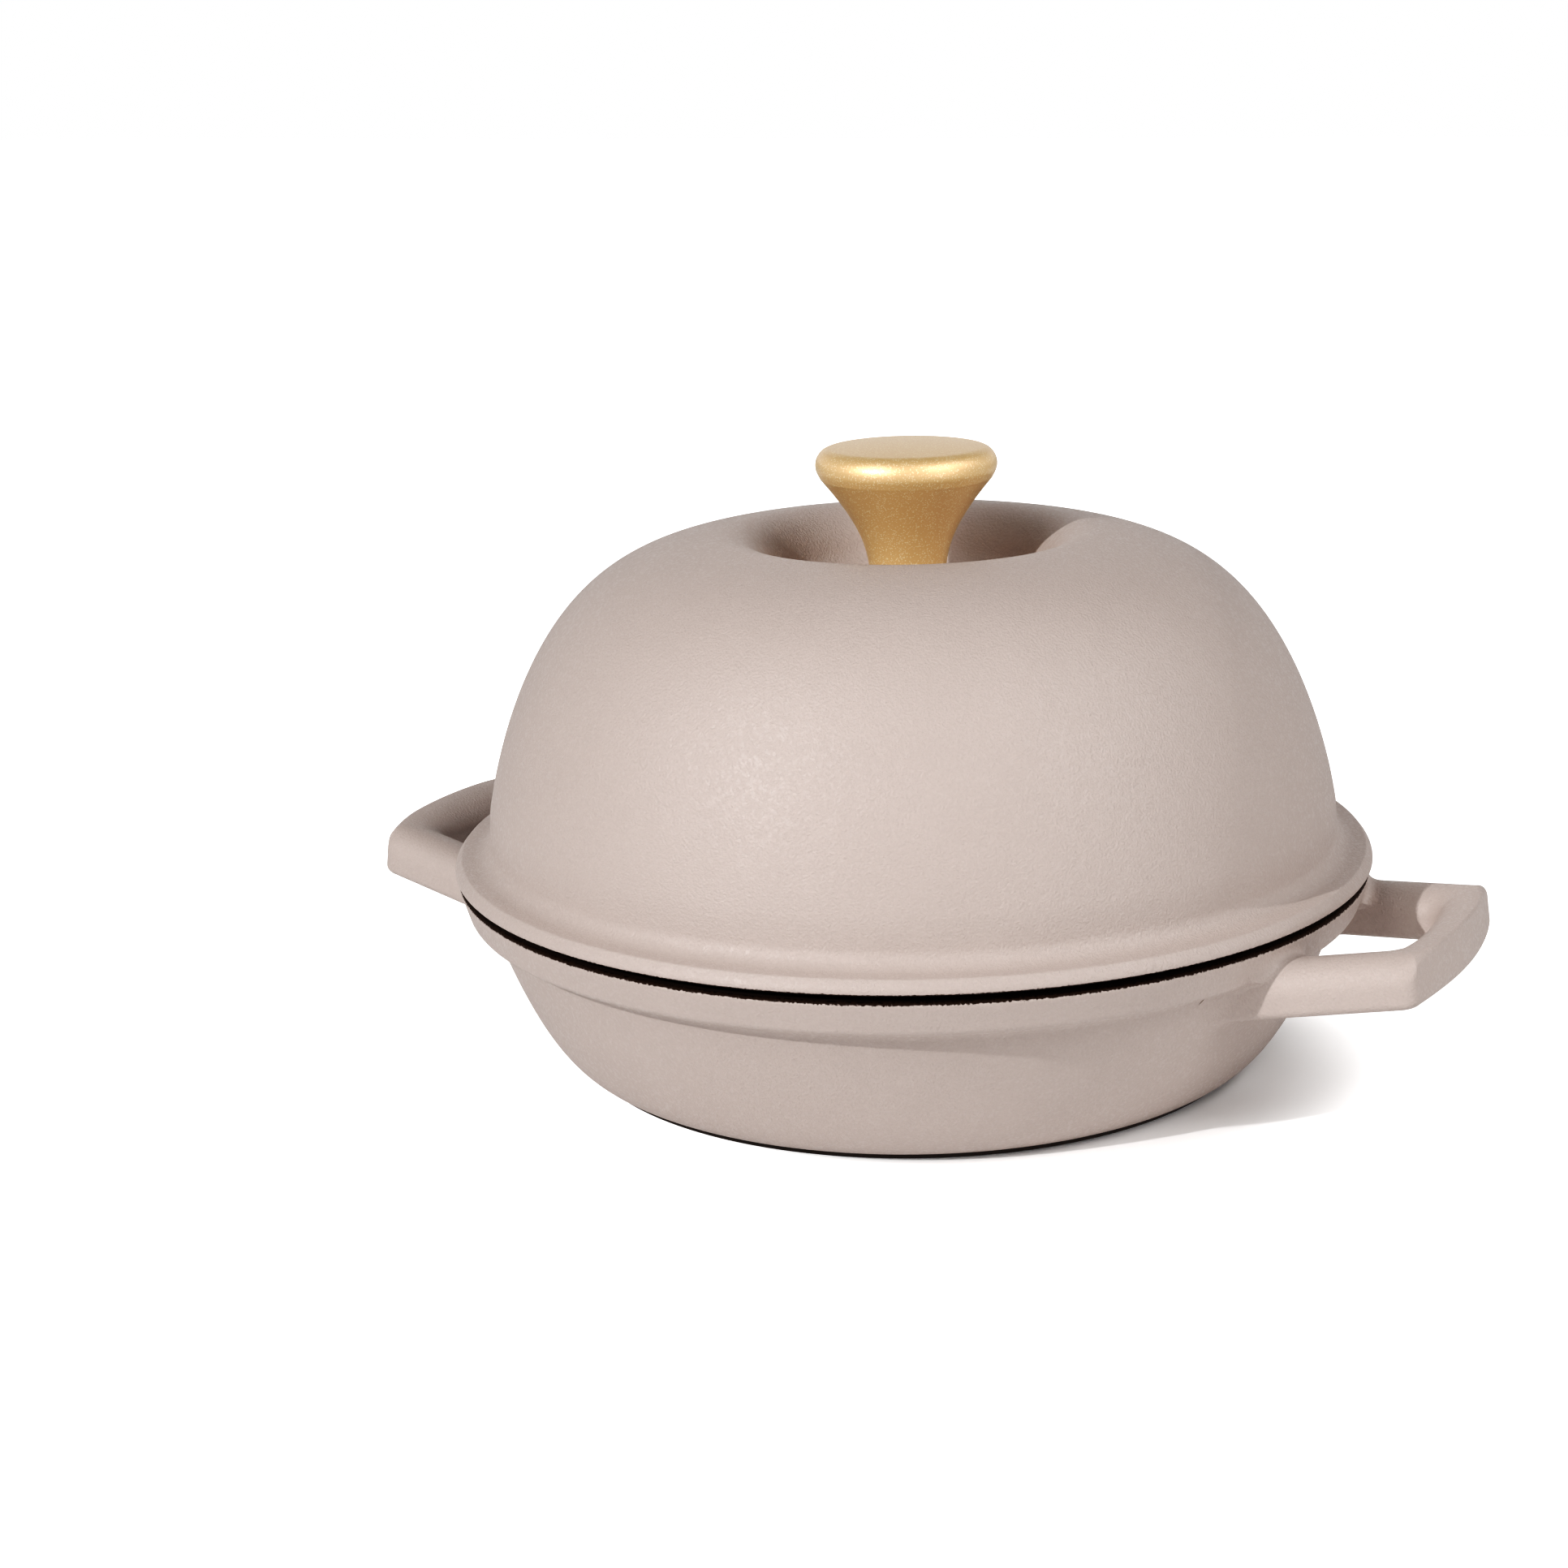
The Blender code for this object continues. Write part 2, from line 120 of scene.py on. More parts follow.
# Shells of (points, quads, finish of each quad) become one object that stands for a node and rides on
# a body. A quad with two equal corners, as at a pole, is made a triangle.
def addPiece(name, shells, body, node, materials, sharp=35):
    verts, faces, finish, count = [], [], [], 0
    for points, quads, kinds in shells:
        if signedVolume(points, quads) < 0:
            quads = quads[:, ::-1]
        used, quads = np.unique(quads, return_inverse=True)
        quads = quads.reshape(-1, 4)
        kinds = np.broadcast_to(kinds, len(quads))
        same01, same12, same23, same30 = (quads[:, k] == quads[:, (k + 1) % 4] for k in range(4))
        whole = ~(same01 | same12 | same23 | same30)
        cases = (
            (whole, [0, 1, 2, 3]),
            (same01 | same30, [1, 2, 3]),
            ((same12 | same23) & ~same01, [0, 1, 3]),
        )
        for keep, corners in cases:
            faces += (quads[keep][:, corners] + count).tolist()
            finish.append(kinds[keep])
        verts.append(points[used])
        count += len(used)
    mesh = bpy.data.meshes.new(name)
    mesh.from_pydata(np.concatenate(verts).tolist(), [], faces)
    mesh.polygons.foreach_set("material_index", np.concatenate(finish).astype(np.int32))
    mesh.shade_smooth()
    mesh.set_sharp_from_angle(angle=math.radians(sharp))
    mesh.update()
    for material in materials:
        mesh.materials.append(material)
    piece = bpy.data.objects.new(name, mesh)
    bpy.context.scene.collection.objects.link(piece)
    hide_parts(node)
    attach(piece, body)
    print(name, len(mesh.vertices), "points,", len(mesh.polygons), "faces")


# A profile carried round the axis: x = radius cos a, y = radius sin a.
# Its two ends lie on the axis, or close on each other.
def turnedShell(profile, steps, closed=False, kinds=0):
    a = np.arange(steps) * 2 * math.pi / steps
    radius, height = profile[:, :1], profile[:, 1:]
    points = np.stack([radius * np.cos(a), radius * np.sin(a), height + 0 * a], axis=-1).reshape(-1, 3)
    index = np.arange(len(profile) * steps).reshape(-1, steps)
    index = np.where(radius < tiny, index[:, :1], index)
    kinds = np.broadcast_to(kinds, len(profile))
    rows = kinds if closed else kinds[:-1]
    return points, gridQuads(index, closeRows=closed), np.repeat(rows, steps)


# A value that is a node's socket is linked, and any other is set
def feed(tree, value, socket):
    if isinstance(value, bpy.types.NodeSocket):
        tree.links.new(value, socket)
    else:
        socket.default_value = value


def addNode(tree, kind, place, values=None, **settings):
    node = tree.nodes.new(kind)
    node.location = place
    for name, value in settings.items():
        setattr(node, name, value)
    for name, value in (values or {}).items():
        feed(tree, value, node.inputs[name])
    return node


def mathNode(tree, operation, place, *values, **settings):
    given = dict(enumerate(values))
    return addNode(tree, "ShaderNodeMath", place, given, operation=operation, **settings).outputs[0]


# The first colour or value where the factor is 0, and the second where it is 1
def mixNode(tree, kind, place, factor, first, second):
    mix = addNode(tree, "ShaderNodeMix", place, {0: factor}, data_type=kind)
    firstSocket, secondSocket, result = {"FLOAT": (2, 3, 0), "RGBA": (6, 7, 2)}[kind]
    for socket, value in ((firstSocket, first), (secondSocket, second)):
        feed(tree, (*value, 1.0) if isinstance(value, tuple) else value, mix.inputs[socket])
    return mix.outputs[result]


# A value that goes from the first end to the second as the mask goes from 0 to 1
def ranged(tree, place, mask, ends):
    return mathNode(tree, "MULTIPLY_ADD", place, mask, ends[1] - ends[0], ends[0])


# A value that goes from the first end to the second as another crosses a span, and keeps to them
def fadeNode(tree, place, value, span, ends, way="LINEAR"):
    return addNode(tree, "ShaderNodeMapRange", place, {
        "Value": value, "From Min": span[0], "From Max": span[1], "To Min": ends[0], "To Max": ends[1],
    }, interpolation_type=way).outputs["Result"]


# An empty node group with number sockets: the inputs with their first values, and the outputs' names
def newGroup(name, given, results):
    tree = bpy.data.node_groups.new(name, "ShaderNodeTree")
    for socket, value in given.items():
        made = tree.interface.new_socket(socket, in_out="INPUT", socket_type="NodeSocketFloat")
        made.default_value = value
    for socket in results:
        tree.interface.new_socket(socket, in_out="OUTPUT", socket_type="NodeSocketFloat")
    inputs = addNode(tree, "NodeGroupInput", (-900, 0))
    outputs = addNode(tree, "NodeGroupOutput", (700, 0))
    return tree, inputs.outputs, outputs.inputs


# A node group placed in a material with its own values
def useGroup(tree, name, place, values):
    node = addNode(tree, "ShaderNodeGroup", place)
    node.node_tree = bpy.data.node_groups[name]
    for socket, value in values.items():
        node.inputs[socket].default_value = value
    return node.outputs


grainPattern = {
    "turn": (0.5, 0.8, 1.1), "waveShare": 0.6,
    "fine": {"Detail": 3.0, "Roughness": 0.6}, "wave": {"Detail": 2.0, "Roughness": 0.5},
}


# Orange peel and grain of a fired or sprayed coat, on Object coordinates. The height is a fine noise
# plus a share of a wide one, and a cell whose random number is under the fleck share is a fleck. The
# turn keeps the cells out of line with the piece.
def buildGrainGroup():
    tree, given, result = newGroup(
        "coatGrain", {"Grain Size": 0.0005, "Wave Size": 0.02, "Fleck Share": 0.1},
        ("Height", "Flecks", "Cloud", "Speckle"))
    place = addNode(tree, "ShaderNodeTexCoord", (-1100, 300)).outputs["Object"]
    turned = addNode(tree, "ShaderNodeMapping", (-900, 300),
                     {"Vector": place, "Rotation": grainPattern["turn"]}).outputs["Vector"]
    grainScale = mathNode(tree, "DIVIDE", (-700, 120), 1.0, given["Grain Size"])
    waveScale = mathNode(tree, "DIVIDE", (-700, -80), 1.0, given["Wave Size"])
    fine = addNode(tree, "ShaderNodeTexNoise", (-500, 260),
                   {"Vector": turned, "Scale": grainScale, **grainPattern["fine"]}).outputs["Fac"]
    wave = addNode(tree, "ShaderNodeTexNoise", (-500, 0),
                   {"Vector": turned, "Scale": waveScale, **grainPattern["wave"]}).outputs["Fac"]
    cells = addNode(tree, "ShaderNodeTexVoronoi", (-500, -260),
                    {"Vector": turned, "Scale": grainScale}, feature="F1").outputs["Color"]
    chance = addNode(tree, "ShaderNodeSeparateColor", (-400, -420), {"Color": cells}).outputs["Red"]
    lift = mathNode(tree, "MULTIPLY_ADD", (-250, 120), wave, grainPattern["waveShare"], fine)
    pick = mathNode(tree, "LESS_THAN", (-250, -260), chance, given["Fleck Share"])
    for name, value in (("Height", lift), ("Flecks", pick), ("Cloud", wave), ("Speckle", fine)):
        feed(tree, value, result[name])


edgeNoise = {"Scale": 1300.0, "Detail": 4.0, "Roughness": 0.8}


# 1 below a height and 0 above it, with a ragged edge:
# 0.5 + (height - z - raggedness (noise - 0.5)) / softness, kept from 0 to 1
def buildEdgeGroup():
    tree, given, result = newGroup(
        "raggedEdge", {"Height": 0.05, "Raggedness": 0.0004, "Softness": 0.0001}, ("Below",))
    place = addNode(tree, "ShaderNodeTexCoord", (-900, 300)).outputs["Object"]
    noise = addNode(tree, "ShaderNodeTexNoise", (-700, 200), {"Vector": place, **edgeNoise}).outputs["Fac"]
    level = addNode(tree, "ShaderNodeSeparateXYZ", (-700, 400), {"Vector": place}).outputs["Z"]
    centred = mathNode(tree, "SUBTRACT", (-500, 200), noise, 0.5)
    ragged = mathNode(tree, "MULTIPLY", (-300, 200), centred, given["Raggedness"])
    moved = mathNode(tree, "ADD", (-300, 400), level, ragged)
    gap = mathNode(tree, "SUBTRACT", (-100, 300), given["Height"], moved)
    sharp = mathNode(tree, "DIVIDE", (100, 300), gap, given["Softness"])
    feed(tree, mathNode(tree, "ADD", (300, 300), sharp, 0.5, use_clamp=True), result["Below"])


def newMaterial(name):
    material = bpy.data.materials.new(name)
    material.use_nodes = True
    return material, material.node_tree, material.node_tree.nodes["Principled BSDF"]


# Colour, roughness and grain into the shader, and what is the same all over the surface on its own sockets
def dress(tree, shader, base, rough, height, depth, sockets):
    bump = addNode(tree, "ShaderNodeBump", (-250, -300), {"Height": height, "Distance": depth})
    for name, value in (("Base Color", base), ("Roughness", rough), ("Normal", bump.outputs["Normal"])):
        feed(tree, value, shader.inputs[name])
    for name, value in sockets.items():
        shader.inputs[name].default_value = value


enamel = {
    "taupe": (0.510, 0.423, 0.385), "taupeShade": (0.490, 0.405, 0.368), "speckle": (0.965, 1.035),
    "speckleSpan": (0.30, 0.70), "brown": (0.040, 0.019, 0.012), "black": (0.0080, 0.0034, 0.0022),
    "bareFoot": (0.070, 0.052, 0.044), "bareRoughness": 0.85, "edgeSoftness": 0.00012,
    "roughness": (0.53, 0.41), "coat": (0.09, 0.43), "grainDepth": 0.00032,
    "grain": {"Grain Size": 0.00075, "Wave Size": 0.016, "Fleck Share": 0.22},
    "sockets": {"Specular IOR Level": 0.50, "Coat Roughness": 0.46},
}


# Matt taupe enamel: a clouded and speckled tone under a thin clear coat, which is stronger and over a
# smoother ground in the flecks. The edges are (height, raggedness, colour below, colour above), where
# None leaves the enamel.
def taupeMaterial(name, edges):
    material, tree, shader = newMaterial(name)
    grain = useGroup(tree, "coatGrain", (-900, -200), enamel["grain"])
    tone = mixNode(tree, "RGBA", (-800, 0), grain["Cloud"], enamel["taupeShade"], enamel["taupe"])
    speckle = fadeNode(tree, (-800, -200), grain["Speckle"], enamel["speckleSpan"], enamel["speckle"])
    base = addNode(tree, "ShaderNodeVectorMath", (-600, 0), {0: tone, "Scale": speckle},
                   operation="SCALE").outputs[0]
    gloss = ranged(tree, (-400, -150), grain["Flecks"], enamel["coat"])
    rough = ranged(tree, (-400, -50), grain["Flecks"], enamel["roughness"])
    dull = 0.0
    for k, (height, ragged, below, above) in enumerate(edges):
        x = 200 * k - 500
        mask = useGroup(tree, "raggedEdge", (x - 200, 500), {
            "Height": height, "Raggedness": ragged, "Softness": enamel["edgeSoftness"]})["Below"]
        base = mixNode(tree, "RGBA", (x, 300), mask, above or base, below or base)
        rows = ((700, rough, enamel["bareRoughness"]), (900, gloss, 0.0), (1100, dull, 1.0))
        rough, gloss, dull = (
            mixNode(tree, "FLOAT", (x, y), mask, bare if above else value, bare if below else value)
            for y, value, bare in rows)
    dress(tree, shader, base, rough, grain["Height"], enamel["grainDepth"], enamel["sockets"])
    feed(tree, gloss, shader.inputs["Coat Weight"])
    if edges:  # metallic takes the white shine off the bare and black edges
        feed(tree, dull, shader.inputs["Metallic"])
    return material


# Black: matt enamel inside, on the seats and in the gap. Gold: satin, with flakes that are lighter and
# rougher, so they catch the key light from further round. Steel: turned and stainless, its gloss
# clouded. Silicone: dark, with a faint grain.
finishes = {
    "blackEnamel": {
        "colours": (enamel["black"], (0.0140, 0.0085, 0.0065)), "colourMask": "Cloud",
        "roughness": (0.63, 0.47), "roughMask": "Flecks", "sockets": {"Specular IOR Level": 0.05},
        "grain": {"Grain Size": 0.0006, "Wave Size": 0.012, "Fleck Share": 0.10}, "grainDepth": 0.00015,
    },
    "goldFlake": {
        "colours": ((0.860, 0.575, 0.280), (1.000, 0.800, 0.500)), "colourMask": "Flecks",
        "roughness": (0.34, 0.46), "roughMask": "Flecks",
        "sockets": {"Metallic": 0.46, "Coat Weight": 0.36, "Coat Roughness": 0.20},
        "grain": {"Grain Size": 0.00028, "Wave Size": 0.010, "Fleck Share": 0.12}, "grainDepth": 0.00008,
    },
    "fasteningSteel": {
        "colours": ((0.52, 0.52, 0.50), (0.62, 0.62, 0.60)), "colourMask": "Cloud",
        "roughness": (0.20, 0.36), "roughMask": "Cloud", "sockets": {"Metallic": 1.0},
        "grain": {"Grain Size": 0.0002, "Wave Size": 0.004, "Fleck Share": 0.20}, "grainDepth": 0.00001,
    },
    "sealSilicone": {
        "colours": ((0.020, 0.020, 0.021), (0.034, 0.033, 0.033)), "colourMask": "Cloud",
        "roughness": (0.56, 0.68), "roughMask": "Cloud", "sockets": {},
        "grain": {"Grain Size": 0.0003, "Wave Size": 0.006, "Fleck Share": 0.10}, "grainDepth": 0.00002,
    },
}


# A finish of those above. Its colour and its roughness each go from their first value to their second
# as a mask of the grain goes from 0 to 1.
def finishMaterial(name):
    finish = finishes[name]
    material, tree, shader = newMaterial(name)
    grain = useGroup(tree, "coatGrain", (-900, -200), finish["grain"])
    base = mixNode(tree, "RGBA", (-600, 200), grain[finish["colourMask"]], *finish["colours"])
    rough = ranged(tree, (-400, -50), grain[finish["roughMask"]], finish["roughness"])
    dress(tree, shader, base, rough, grain["Height"], finish["grainDepth"], finish["sockets"])
    return material


# Where the coats end, as (height, raggedness). All but the foot's height are over the pan's rim.
coatEdges = {
    "foot": (0.0019, 0.0006), "rimBrown": (-0.0002, 0.0018), "rimBlack": (0.0004, 0.0014),
    "lipBrown": (0.0030, 0.0016), "lipBlack": (0.0027, 0.0012),
}


def rimEdge(name):
    height, ragged = coatEdges[name]
    return pan["rimHeight"] + height, ragged


buildGrainGroup()
buildEdgeGroup()
panTaupe = taupeMaterial("panTaupe", [
    (*coatEdges["foot"], enamel["bareFoot"], None),
    (*rimEdge("rimBrown"), None, enamel["brown"]),
    (*rimEdge("rimBlack"), None, enamel["black"]),
])
handleTaupe = taupeMaterial("handleTaupe", [])
lidTaupe = taupeMaterial("lidTaupe", [
    (*rimEdge("lipBrown"), enamel["brown"], None),
    (*rimEdge("lipBlack"), enamel["black"], None),
])
blackEnamel = finishMaterial("blackEnamel")
goldFlake = finishMaterial("goldFlake")
fasteningSteel = finishMaterial("fasteningSteel")
sealSilicone = finishMaterial("sealSilicone")
print("materials ready")


# From the foot up the outside of the bowl, a cubic curve, and round the neck and the band to the rim.
# The top of the curve gives way to the neck's fillet.
def panOutside():
    wall = cubicPoints((pan["baseRadius"], pan["footHeight"]), *pan["outerFullness"], panWallTop, steps=60)
    cut = 6
    above = filletPoints([
        (*wall[-cut], 0),
        (*panWallTop, pan["neckRound"]),
        (*panBandFoot, pan["bandRound"]),
        (pan["rimRadius"], pan["rimHeight"], pan["rimRound"]),
        (pan["rimRadius"] - pan["rimBevel"], panLand, 0),
    ], steps=14)
    return np.concatenate([wall[:-cut], above[:-1]])


# The whole pan as one line from axis to axis: under the foot ring, up the outside, over the rim and
# down the inside. Finish 0 is the outer enamel, and 1 the black one from the rim's flat land inwards.
def panProfile():
    footOuter = pan["baseRadius"] - pan["footInset"]
    footInner = footOuter - pan["footWidth"]
    recessRound, innerRound, outerRound = pan["footRounds"]
    under = filletPoints([
        (0.0, pan["footRecess"], 0),
        (footInner - pan["footRecess"], pan["footRecess"], recessRound),
        (footInner, 0.0, innerRound),
        (footOuter, 0.0, outerRound),
        (footOuter, pan["footHeight"], 0),
    ], steps=5)
    floorHeight = pan["footHeight"] + pan["floor"]
    floorEdge = (pan["baseRadius"] - pan["wall"], floorHeight)
    innerTop = (panWallTop[0] - pan["wall"], panWallTop[1])
    inside = cubicPoints(floorEdge, *pan["innerFullness"], innerTop, steps=50)
    cut = 5
    throat = panWallTop[1] + pan["bandUndercut"] + pan["bandHeight"] / 2
    rim = filletPoints([
        (pan["rimRadius"] - pan["rimBevel"] / 2, panLand - pan["landRise"] / 2, 0),
        (pan["rimRadius"] - pan["rimBevel"], panLand, pan["landRound"]),
        (panRimInner, panLand, pan["mouthRound"]),
        (panRimInner, throat, pan["throatRound"]),
        (*innerTop, pan["wallTopRound"]),
        (*inside[-cut], 0),
    ], steps=10)
    outside = panOutside()
    outside = evenLine(outside, np.zeros(len(outside)), pan["outsideReach"])[0]
    line = np.concatenate([under, outside, rim, inside[-cut - 1::-1], [(0.0, floorHeight)]])
    kinds = (np.arange(len(line)) >= len(under) + len(outside)).astype(int)
    return evenLine(line, kinds, pan["insideReach"])


# Each corner of the section has its rounding as shares of width and height, first on the arms and then
# on the bar. The form has changed by turnShare where the bar begins, and wholly at barShare of the way
# to its middle.
handle = {
    "reach": 0.1700, "bow": 0.1575, "halfWidth": 0.0400, "taper": math.radians(13.25),
    "tilt": math.radians(7.6), "height": 0.0146, "rise": 0.0010, "lean": 0.0019, "armWidth": 0.0167,
    "barWidth": 0.0127, "outerRound": 0.0050, "innerRound": 0.0070, "armGuide": 0.0400,
    "corners": (((0.15, 0.15), (0.28, 0.30)), ((0.15, 0.16), (0.24, 0.24)),
                ((0.445, 0.57), (0.07, 0.06)), ((0.545, 0.47), (0.80, 0.55))),
    "turnShare": 0.55, "barShare": 0.55, "turnSteps": 18, "barSteps": 44, "armSteps": 14,
    "rootFillet": 0.0065, "rimGap": 0.0004, "longestArm": 0.0600, "lowestRoot": 0.0100, "rootSink": 0.0008,
    "filletSteps": 12,
}


# Half of one side of the loop in plan: the arc of the turn, then the bowed bar to its middle
def loopSide(halfWidth, bow, turnRound):
    middle = handle["reach"] - handle["bow"]
    corner = np.array([middle + math.sqrt(bow ** 2 - halfWidth ** 2), halfWidth])
    back = corner + handle["armGuide"] * np.array([-1.0, math.tan(handle["taper"])])
    slant = math.asin(halfWidth / bow)
    ahead = corner + np.array([math.sin(slant), -math.cos(slant)]) * halfWidth / 2
    turn = filletPoints([(*back, 0), (*corner, turnRound), (*ahead, 0)], handle["turnSteps"])[1:-1]
    last = math.asin(turn[-1][1] / bow)
    a = last * np.linspace(1, 0, handle["barSteps"] + 1)[1:]
    return np.concatenate([turn, np.stack([middle + bow * np.cos(a), bow * np.sin(a)], axis=1)])


# The section at every station: four rounded corners joined by straight sides, as (across, up) arrays
def handleSection(width, share, cornerSteps=9, sideSteps=5):
    height = handle["height"]
    arcs = []
    places = ((0, 0, 180), (1, 0, 270), (1, 1, 0), (0, 1, 90))  # right, up, and where its arc begins
    for (right, up, first), (arm, bar) in zip(places, handle["corners"]):
        rx = (arm[0] + (bar[0] - arm[0]) * share) * width
        ry = (arm[1] + (bar[1] - arm[1]) * share) * height
        a = np.radians(np.linspace(first, first + 90, cornerSteps + 1))
        cx = (width - rx if right else rx)[:, None] + rx[:, None] * np.cos(a)
        cy = (height - ry if up else ry)[:, None] + ry[:, None] * np.sin(a)
        arcs.append(np.stack([cx, cy], axis=-1))
    parts = []
    for arc, following in zip(arcs, arcs[1:] + arcs[:1]):
        t = np.linspace(0, 1, sideSteps + 1)[1:-1, None]
        parts += [arc, arc[:, -1:] + (following[:, :1] - arc[:, -1:]) * t]
    return np.concatenate(parts, axis=1)


# The loop from turn to turn, each row a section. Its width follows the two sides, its form goes from
# the arms' to the bar's, and it leans with the tilt: z = crease - height + up + tan(tilt) (x - reach).
def handleLoop():
    outer = loopSide(handle["halfWidth"], handle["bow"], handle["outerRound"])
    inner = loopSide(handle["halfWidth"] - handle["armWidth"], handle["bow"] - handle["barWidth"],
                     handle["innerRound"])
    t = np.linspace(0, 1, handle["turnSteps"] + 1)
    b = np.clip(np.linspace(0, 1, handle["barSteps"] + 1)[1:] / handle["barShare"], 0, 1)
    turned = handle["turnShare"]
    share = np.concatenate([turned * t * t, turned + (1 - turned) * b * (2 - b)])
    mirror = np.array([1.0, -1.0])
    outer = np.concatenate([outer, outer[-2::-1] * mirror])
    inner = np.concatenate([inner, inner[-2::-1] * mirror])
    share = np.concatenate([share, share[-2::-1]])
    across = outer - inner
    width = np.linalg.norm(across, axis=1)
    section = handleSection(width, share)
    q, h = section[..., 0], section[..., 1]
    plan = inner[:, None] + across[:, None] * (q / width[:, None])[..., None]
    x = plan[..., 0] + handle["lean"] * (1 - h / handle["height"]) * q / width[:, None]
    crease = pan["rimHeight"] + handle["rise"]
    z = crease - handle["height"] + h + math.tan(handle["tilt"]) * (x - handle["reach"])
    return np.stack([x, plan[..., 1], z], axis=-1)


# Each point of an arm's end runs straight to where it would hit the wall, and a curve turns it aside
# onto the wall: place = (1-t)^2 start + 2t(1-t) hit + t^2 landing. The last two rows close the arm
# inside the wall.
def handleRoot(ring, side, outside):
    order = np.argsort(outside[:, 1], kind="stable")
    levels, radii = outside[order, 1], outside[order, 0]
    way = np.array([-1.0, side * math.tan(handle["taper"]), -math.tan(handle["tilt"])])
    way /= np.linalg.norm(way)
    low, high = np.zeros(len(ring)), np.full(len(ring), handle["longestArm"])
    for _ in range(40):  # halves the stretch in which the wall lies
        s = (low + high) / 2
        at = ring + way * s[:, None]
        out = np.hypot(at[:, 0], at[:, 1]) > np.interp(at[:, 2], levels, radii)
        low, high = np.where(out, s, low), np.where(out, high, s)
    hit = ring + way * low[:, None]
    fillet = handle["rootFillet"]
    start = hit - way * fillet
    along = np.roll(ring, -1, axis=0) - np.roll(ring, 1, axis=0)
    normal = np.cross(along, way)
    normal *= np.sign((normal * (ring - ring.mean(axis=0))).sum(axis=1).mean())
    theta = np.arctan2(hit[:, 1], hit[:, 0])
    sideways = -normal[:, 0] * np.sin(theta) + normal[:, 1] * np.cos(theta)
    upwards = normal[:, 2]
    size = np.hypot(sideways, upwards) / fillet
    theta = theta + sideways / size / np.hypot(hit[:, 0], hit[:, 1])
    z = np.clip(hit[:, 2] + upwards / size, handle["lowestRoot"], pan["rimHeight"] - handle["rimGap"])
    radius = np.interp(z, levels, radii)
    landing = np.stack([radius * np.cos(theta), radius * np.sin(theta), z], axis=1)
    t = np.linspace(0, 1, handle["filletSteps"] + 1)[:, None, None]
    curve = (1 - t) ** 2 * start + 2 * t * (1 - t) * hit + t * t * landing
    arm = ring + (start - ring) * np.linspace(0, 1, handle["armSteps"] + 1)[1:-1, None, None]
    inward = landing.copy()
    inward[:, :2] *= ((radius - handle["rootSink"]) / radius)[:, None]
    heart = np.broadcast_to(inward.mean(axis=0), inward.shape)
    return np.concatenate([arm, curve, inward[None], heart[None]])


# Root, loop and root as rows of one grid. Half a turn about the axis, (-x, -y, z), gives the other handle.
def handleShell(turned):
    outside = panOutside()
    loop = handleLoop()
    near = handleRoot(loop[0], 1, outside)
    far = handleRoot(loop[-1], -1, outside)
    grid = np.concatenate([near[::-1], loop, far])
    index = np.arange(grid.shape[0] * grid.shape[1]).reshape(grid.shape[:2])
    index[0], index[-1] = index[0, 0], index[-1, 0]
    points = grid.reshape(-1, 3)
    if turned:
        points = points * np.array([-1.0, -1.0, 1.0])
    return points, gridQuads(index), 2  # the pan's third finish


# The pan's profile turned round the axis, with a handle swept along its loop at each side
def makePan():
    profile, kinds = panProfile()
    shells = [turnedShell(profile, pan["steps"], kinds=kinds), handleShell(False), handleShell(True)]
    addPiece("panBody", shells, "base", "base_pan", [panTaupe, blackEnamel, handleTaupe])


lid = {
    "gap": 0.0029, "seatGap": 0.0003, "wall": 0.0036, "flangeOverhang": 0.00075, "flangeThickness": 0.0038,
    "flangeSlope": 0.0004, "edgeSlope": (0.0019, 0.0024), "creaseRound": 0.0010, "flangeRound": 0.0034,
    "flangeFootRound": 0.0008, "rootRound": 0.0055, "innerRootRound": 0.0060,
    "lipDepth": 0.0040, "lipWidth": 0.0034, "lipClearance": 0.0008, "seatRound": 0.0006, "lipRound": 0.0008,
    "domeRadius": 0.1267, "domeBase": 0.0132, "domeRise": 0.0869, "sidePower": 4.90, "topPower": 1.364,
    "domeEndShare": 0.07, "crestRadius": 0.0546, "crestRound": 0.0150, "wallAngle": math.radians(70),
    "recessDepth": 0.0180, "recessRound": 0.0090, "screwHole": 0.0035,
    "crestSteps": 40, "domeSamples": 400, "domeSteps": 64, "reach": 0.006, "steps": 260,
}
domeBase = pan["rimHeight"] + lid["domeBase"]
flangeBottom = pan["rimHeight"] + lid["gap"]
flangeTop = flangeBottom + lid["flangeThickness"]
lidSeat = panLand + lid["seatGap"]


# Height of the dome at a radius, on a superellipse:
# (radius / domeRadius)^sidePower + ((height - domeBase) / domeRise)^topPower = 1
def domeHeight(radius, inset=0.0):
    share = (radius / (lid["domeRadius"] - inset)) ** lid["sidePower"]
    return domeBase + (lid["domeRise"] - inset) * (1 - share) ** (1 / lid["topPower"])


recessFloor = domeHeight(lid["crestRadius"]) - lid["recessDepth"]


